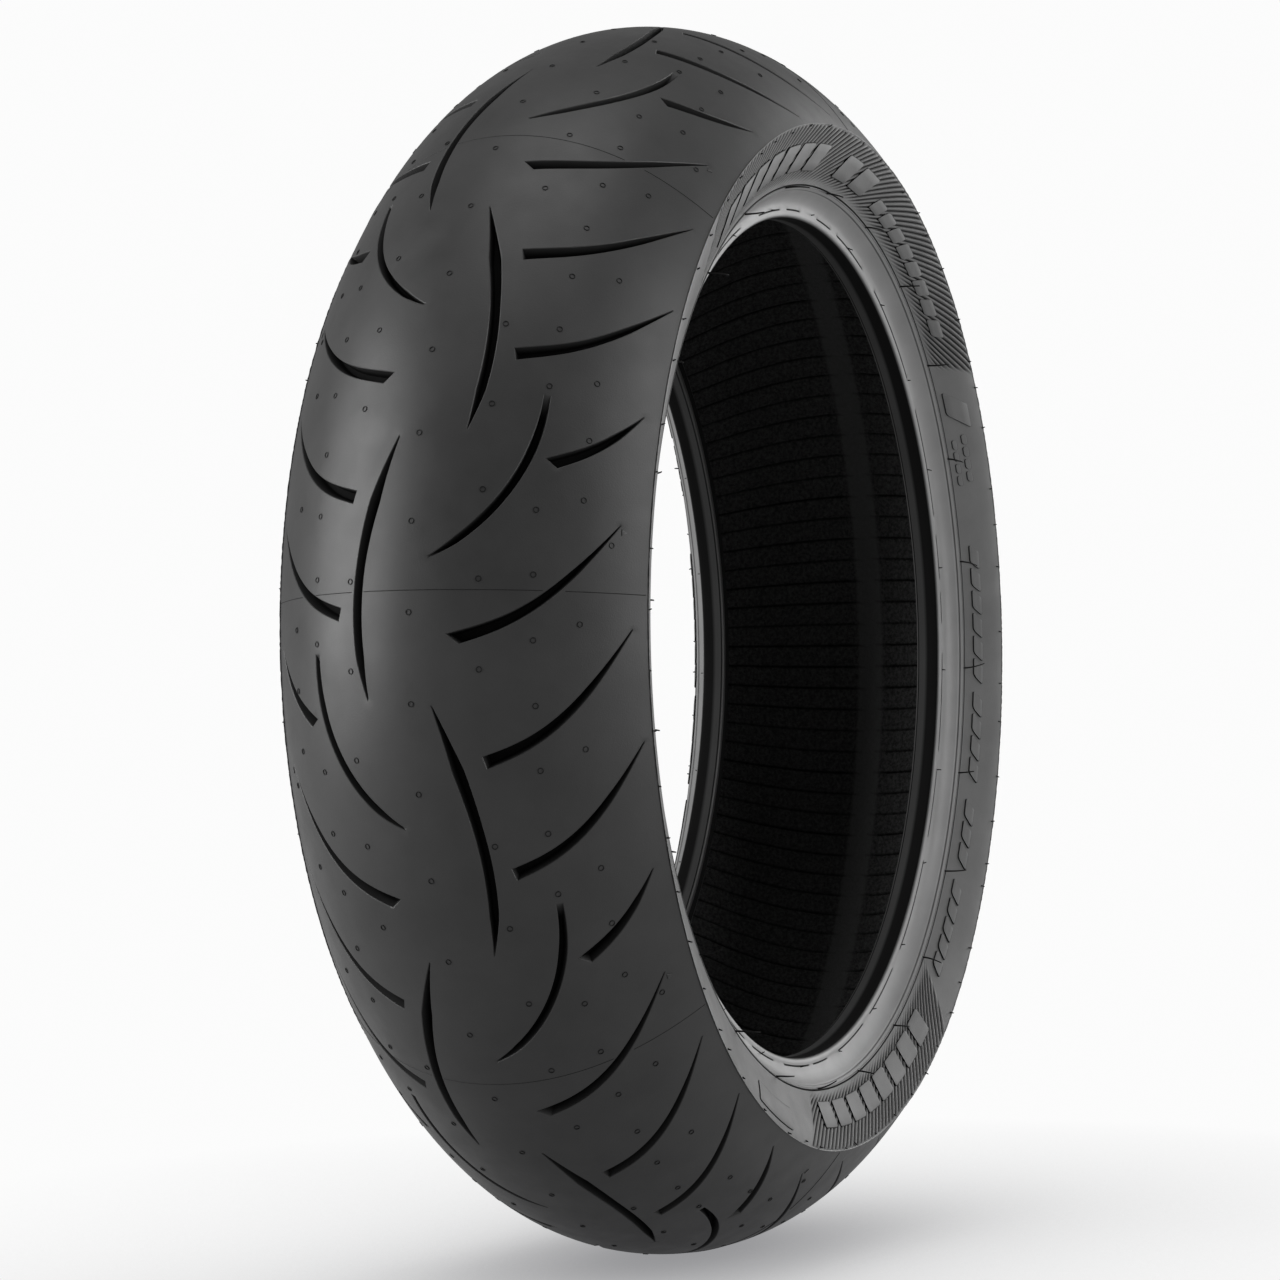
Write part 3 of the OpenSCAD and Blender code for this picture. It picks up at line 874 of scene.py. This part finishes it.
def build_wear_marks():
    """Small triangles by the tread edge that point at the wear bars."""
    batch = Batch()
    for pitch in range(PITCHES):
        for half, share in ((1, 0.13), (-1, 0.63)):
            turn = PATTERN_TURN + (pitch + share) * STEP
            length = half * MARK_LENGTH
            corners = [(-0.6, -0.5), (0.6, -0.5), (0.0, 0.6)]
            grid = []
            for scale, up in ((1.0, -0.3), (1.0, 0.8), (0.86, 1.0), (0.1, 1.0)):
                row = []
                for cx, cy in corners:
                    across = across_at(length + half * cy * MARK_SIZE * scale)
                    corner_turn = turn + cx * MARK_SIZE * scale / tread_r(across)
                    row.append(on_tread(corner_turn, across, -up * MARK_H))
                grid.append(row)
            grid = np.array(grid)
            faces = grid_faces(*grid.shape[:2])
            faces.append([0, 1, 2])
            faces.append([9, 10, 11])
            batch.add(grid, faces)
    return batch.make("wear_marks", crease=40)


# ---- materials -------------------------------------------------------------------------
class Nodes:
    """A short way to build a node material."""

    def __init__(self, name):
        self.material = bpy.data.materials.new(name)
        self.material.use_nodes = True
        self.tree = self.material.node_tree
        self.shader = self.tree.nodes["Principled BSDF"]
        self.coords = self.tree.nodes.new("ShaderNodeTexCoord").outputs["Object"]

    def add(self, kind, values=None, **links):
        node = self.tree.nodes.new(kind)
        for key, value in (values or {}).items():
            setattr(node, key, value)
        for key, value in links.items():
            socket = node.inputs[int(key[1:])] if key[0] == "i" and key[1:].isdigit() else node.inputs[key]
            self.put(socket, value)
        return node

    def put(self, socket, value):
        if isinstance(value, bpy.types.NodeSocket):
            self.tree.links.new(value, socket)
        else:
            socket.default_value = value

    def noise(self, scale, detail=3.0, rough=0.55):
        node = self.add("ShaderNodeTexNoise", None, Vector=self.coords, Scale=scale, Detail=detail)
        node.inputs["Roughness"].default_value = rough
        return node.outputs["Fac"]

    def math(self, operation, a, b=0.0, c=0.0):
        return self.add("ShaderNodeMath", {"operation": operation}, i0=a, i1=b, i2=c).outputs[0]

    def spread(self, value, low, high, out_low, out_high):
        node = self.add("ShaderNodeMapRange", None, i0=value, i1=low, i2=high, i3=out_low, i4=out_high)
        return node.outputs["Result"]

    def blend(self, share, a, b):
        node = self.add("ShaderNodeMix", {"data_type": "RGBA"})
        self.put(node.inputs["Factor"], share)
        self.put(node.inputs["A"], a)
        self.put(node.inputs["B"], b)
        return node.outputs["Result"]

    def bump(self, height, strength, distance):
        node = self.add("ShaderNodeBump", None, Strength=strength, Distance=distance, Height=height)
        self.tree.links.new(node.outputs["Normal"], self.shader.inputs["Normal"])

    def set(self, **values):
        for key, value in values.items():
            self.put(self.shader.inputs[key.replace("_", " ")], value)


def grey(level):
    return (level, level, level, 1.0)


GRAIN_SCALE = 1400.0


def rubber(name, level, rough, grain=0.25, patch=0.16, specular=0.4, painted_shade_level=None):
    """Moulded rubber: cloudy colour, uneven polish and a fine grain, with painted shade, darker and less
    shiny, where a mesh marks grooves and other recesses.
    """
    m = Nodes(name)
    cloud = m.noise(26.0, 5.0, 0.6)
    fine = m.noise(GRAIN_SCALE, 2.0)
    cloudy = m.spread(cloud, 0.3, 0.7, 0.0, 1.0)
    colour = m.blend(cloudy, grey(level * (1 - patch)), grey(level * (1 + patch)))
    roughness = m.spread(m.noise(60.0, 4.0), 0.3, 0.7, rough - 0.04, rough + 0.05)
    if painted_shade_level is not None:
        # Painted shade: darker, rougher and less shiny where the mesh marks it
        deep = m.add("ShaderNodeAttribute", {"attribute_name": "painted_shade"}).outputs["Fac"]
        colour = m.blend(deep, colour, grey(painted_shade_level))
        roughness = m.math("ADD", roughness, m.math("MULTIPLY", deep, 0.25))
        specular = m.spread(deep, 0.0, 1.0, specular, specular * 0.1)
    m.set(Base_Color=colour, Roughness=roughness, Specular_IOR_Level=specular)
    m.bump(fine, grain, 0.0002)
    return m.material


def liner_rubber():
    """Black rubber crinkled by the curing bladder, with a smoother band along the middle."""
    m = Nodes("liner_rubber_black")
    folds = m.noise(520.0, 5.0, 0.75)
    deep = m.add("ShaderNodeAttribute", {"attribute_name": "painted_shade"}).outputs["Fac"]
    across = m.add("ShaderNodeSeparateXYZ", None, Vector=m.coords).outputs["Y"]
    band = m.spread(m.math("ABSOLUTE", across), SMOOTH_BAND[0], SMOOTH_BAND[1], 1.0, 0.0)
    # Painted highlight: the colour follows the crinkle's bump and is lighter on the raised folds
    colour = m.blend(m.spread(folds, 0.38, 0.62, 0.0, 1.0), grey(0.002), grey(0.032))
    # Painted sheen: the smooth middle band is lighter
    colour = m.blend(band, colour, grey(0.045))
    # Painted shade in the moulded grooves
    colour = m.blend(deep, colour, grey(0.0008))
    shine = m.spread(deep, 0.0, 1.0, 0.35, 0.0)
    m.set(Base_Color=colour, Roughness=m.spread(folds, 0.4, 0.65, 0.75, 0.5), Specular_IOR_Level=shine)
    m.bump(folds, 1.0, 0.0015)
    return m.material


def stripes(m, value, spacing):
    """0 to 1 bands along a length or an angle."""
    wave = m.math("SINE", m.math("MULTIPLY", value, 2 * math.pi / spacing))
    return m.spread(wave, -0.2, 0.6, 0.0, 1.0)


def cord(name, colour, gap_colour, spacing_m=None, count=None, metal=0.0, rough=0.4):
    """Cords side by side in rubber. Spaced along Y, counted round the axle, or both."""
    m = Nodes(name)
    split = m.add("ShaderNodeSeparateXYZ", None, Vector=m.coords)
    x, y, z = (split.outputs[k] for k in ("X", "Y", "Z"))
    shares = []
    if spacing_m:
        shares.append(stripes(m, y, spacing_m))
    if count:
        shares.append(stripes(m, m.math("ARCTAN2", z, x), 2 * math.pi / count))
    share = shares[0] if len(shares) == 1 else m.math("MULTIPLY", shares[0], shares[1])
    twist = m.noise(900.0, 2.0)
    tone = m.blend(twist, colour, tuple(c * 0.75 for c in colour[:3]) + (1.0,))
    m.set(Base_Color=m.blend(share, gap_colour, tone), Roughness=rough,
          Metallic=m.math("MULTIPLY", share, metal))
    m.bump(m.math("ADD", share, m.math("MULTIPLY", twist, 0.4)), 0.6, 0.0004)
    return m.material


WIRE_SPACING = 1.3 * MM


def wire_bundle():
    """Single turns of bronze-coated wire, seen side by side."""
    m = Nodes("bead_wire_bronze")
    split = m.add("ShaderNodeSeparateXYZ", None, Vector=m.coords)
    x, y, z = (split.outputs[k] for k in ("X", "Y", "Z"))
    radius = m.math("SQRT", m.math("ADD", m.math("MULTIPLY", x, x), m.math("MULTIPLY", z, z)))
    share = m.math("MAXIMUM", stripes(m, y, WIRE_SPACING), stripes(m, radius, WIRE_SPACING))
    m.set(Base_Color=m.blend(share, grey(0.05), (0.5, 0.36, 0.2, 1.0)), Roughness=0.35, Metallic=0.9)
    m.bump(share, 0.5, 0.0003)
    return m.material


TREAD_LEVEL = 0.028
SIDE_LEVEL = 0.062
BEAD_LEVEL = 0.18
MATERIALS = {
    "tread_rubber": rubber("tread_rubber_satin", TREAD_LEVEL, 0.42, painted_shade_level=0.003),
    "sidewall_rubber": rubber("sidewall_rubber_matt", SIDE_LEVEL, 0.5, painted_shade_level=0.004),
    "bead_rubber": rubber("bead_rubber_smooth", BEAD_LEVEL, 0.42, grain=0.12, patch=0.1, painted_shade_level=0.004),
    "liner_rubber": liner_rubber(),
    "base_rubber": rubber("base_rubber_uncut", 0.02, 0.6, grain=0.4),
    "filler_rubber": rubber("filler_rubber_hard", 0.025, 0.5, grain=0.2),
    "belt_cord": cord("belt_cord_brass", (0.55, 0.4, 0.2, 1), grey(0.03), spacing_m=0.0016, metal=0.9,
                      rough=0.35),
    "carcass_cord": cord("carcass_cord_rayon", (0.42, 0.36, 0.28, 1), grey(0.05), count=1500, rough=0.7),
    "wrap_cloth": cord("wrap_cloth_woven", (0.5, 0.45, 0.36, 1), grey(0.12), spacing_m=0.0012, count=1000,
                       rough=0.8),
    "bead_wire": wire_bundle(),
}
# The toe's rubber, darkened further by painted shade everywhere but on its lip
TOE_RUBBER = rubber("toe_rubber_black", 0.028, 0.5, grain=0.1, painted_shade_level=0.006)
# Near-black rubber for the vent rings, the seams and the whiskers; on the seams the near-black is painted
# shade along their fine ridges
FLASH_AND_SEAM_SHADE_RUBBER = rubber("moulding_flash_black_painted_seam_shade", 0.004, 0.55, grain=0.1, specular=0.25)


def paint(piece, material):
    piece.data.materials.clear()
    piece.data.materials.append(material)


# ---- the tyre --------------------------------------------------------------------------
visual = {"tread_rubber": [build_tread(), build_wear_marks()], "liner_rubber": [build_liner()],
          "sidewall_rubber": [], "bead_rubber": []}
toes = []
flash = [build_vents(), build_seams()]
for name in SIDES:
    visual["sidewall_rubber"] += [build_sidewall(name), build_plates(name)]
    visual["bead_rubber"].append(build_rim_strip(name))
    toes.append(build_toe(name))
    visual["tread_rubber"].append(build_edge_fin(name))
    flash.append(build_hairs(name))
for slot_name, shown in visual.items():
    for piece in shown:
        paint(piece, MATERIALS[slot_name])
for piece in toes:
    paint(piece, TOE_RUBBER)
# The seams' near-black stands in for their shade, as painted shade
for piece in flash:
    paint(piece, FLASH_AND_SEAM_SHADE_RUBBER)

slot_of = {part["node"]: part["material_slot"] for part in frame["record"]["subparts"]}
for node_name, node_object in frame["nodes"].items():
    paint(node_object, MATERIALS[slot_of[node_name]])

# ---- stage, light and camera -----------------------------------------------------------
PAPER = (0.97, 0.97, 0.97, 1.0)
# Colour of the painted contact shadow on the floor
SHADOW = (0.3, 0.3, 0.31, 1.0)
FILL = 0.26
FLOOR_GLOW = 0.62
FLOOR_GAP = 1 * MM
FLOOR_R = 30.0


def build_floor():
    """A pale glowing floor that fades into the background, with a painted soft contact shadow from ambient
    occlusion.
    """
    ring = np.linspace(0, 2 * math.pi, 97)[:-1]
    height = cad_box[0][2] - FLOOR_GAP
    points = [(FLOOR_R * math.cos(a), FLOOR_R * math.sin(a), height) for a in ring]
    mesh = bpy.data.meshes.new("floor")
    mesh.from_pydata(points, [], [list(range(len(points)))])
    floor = bpy.data.objects.new("floor", mesh)
    bpy.context.scene.collection.objects.link(floor)
    m = Nodes("floor_paper")
    # Painted contact shadow: the floor's colour darkens towards SHADOW where ambient occlusion finds the
    # tyre nearby
    near = m.add("ShaderNodeAmbientOcclusion", {"samples": 16}, Distance=0.45).outputs["AO"]
    soft = m.math("POWER", near, 1.4)
    seen = m.add("ShaderNodeLightPath").outputs["Is Camera Ray"]
    strength = m.spread(seen, 0.0, 1.0, FLOOR_GLOW, 1.0)
    light = m.add("ShaderNodeEmission", None, Color=m.blend(soft, SHADOW, PAPER), Strength=strength)
    out = m.tree.nodes["Material Output"]
    m.tree.links.new(light.outputs[0], out.inputs["Surface"])
    mesh.materials.append(m.material)


build_floor()

world = bpy.data.worlds.new("studio")
bpy.context.scene.world = world
world.use_nodes = True
tree = world.node_tree
tree.nodes.clear()
seen = tree.nodes.new("ShaderNodeBackground")
seen.inputs["Color"].default_value = PAPER
fill = tree.nodes.new("ShaderNodeBackground")
fill.inputs["Color"].default_value = (1.0, 1.0, 1.0, 1.0)
fill.inputs["Strength"].default_value = FILL
ray = tree.nodes.new("ShaderNodeLightPath")
mix = tree.nodes.new("ShaderNodeMixShader")
world_out = tree.nodes.new("ShaderNodeOutputWorld")
tree.links.new(ray.outputs["Is Camera Ray"], mix.inputs[0])
tree.links.new(fill.outputs[0], mix.inputs[1])
tree.links.new(seen.outputs[0], mix.inputs[2])
tree.links.new(mix.outputs[0], world_out.inputs["Surface"])

VIEW_TURN = math.radians(90 + 22.3)
VIEW_RISE = math.radians(-0.9)
VIEW_ROLL = math.radians(-0.7)
VIEW_DISTANCE = 2.161
VIEW_ANGLE = math.radians(17.75)
VIEW_SHIFT = -0.028


def direction(turn, rise):
    """Which way a viewer stands from the tyre. Turn 0 looks along +Y."""
    return Vector((math.sin(turn) * math.cos(rise), -math.cos(turn) * math.cos(rise), math.sin(rise)))


def soft_box(name, turn, rise, distance, size, power):
    """A large rectangular light that faces the tyre. Its turn and rise are in degrees."""
    data = bpy.data.lights.new(name, "AREA")
    data.shape = "RECTANGLE"
    data.size, data.size_y = size
    data.energy = power
    light = bpy.data.objects.new(name, data)
    light.location = direction(math.radians(turn), math.radians(rise)) * distance
    light.rotation_euler = (-light.location).to_track_quat("-Z", "Y").to_euler()
    bpy.context.scene.collection.objects.link(light)


soft_box("left", 32, -2, 2.2, (1.7, 3.6), 104)
soft_box("right", 180, 8, 2.2, (1.0, 2.8), 40)
soft_box("back", 242, 16, 2.4, (1.6, 1.8), 24)
soft_box("top", 110, 80, 2.2, (1.6, 1.6), 14)

camera_data = bpy.data.cameras.new("photo_view")
camera_data.angle = VIEW_ANGLE
camera_data.shift_x = VIEW_SHIFT
camera = bpy.data.objects.new("photo_view", camera_data)
camera.location = direction(VIEW_TURN, VIEW_RISE) * VIEW_DISTANCE
aim = (-camera.location).to_track_quat("-Z", "Y")
camera.rotation_euler = (aim @ Quaternion((0, 0, 1), VIEW_ROLL)).to_euler()
bpy.context.scene.collection.objects.link(camera)
bpy.context.scene.camera = camera
bpy.context.scene.view_settings.view_transform = "Standard"
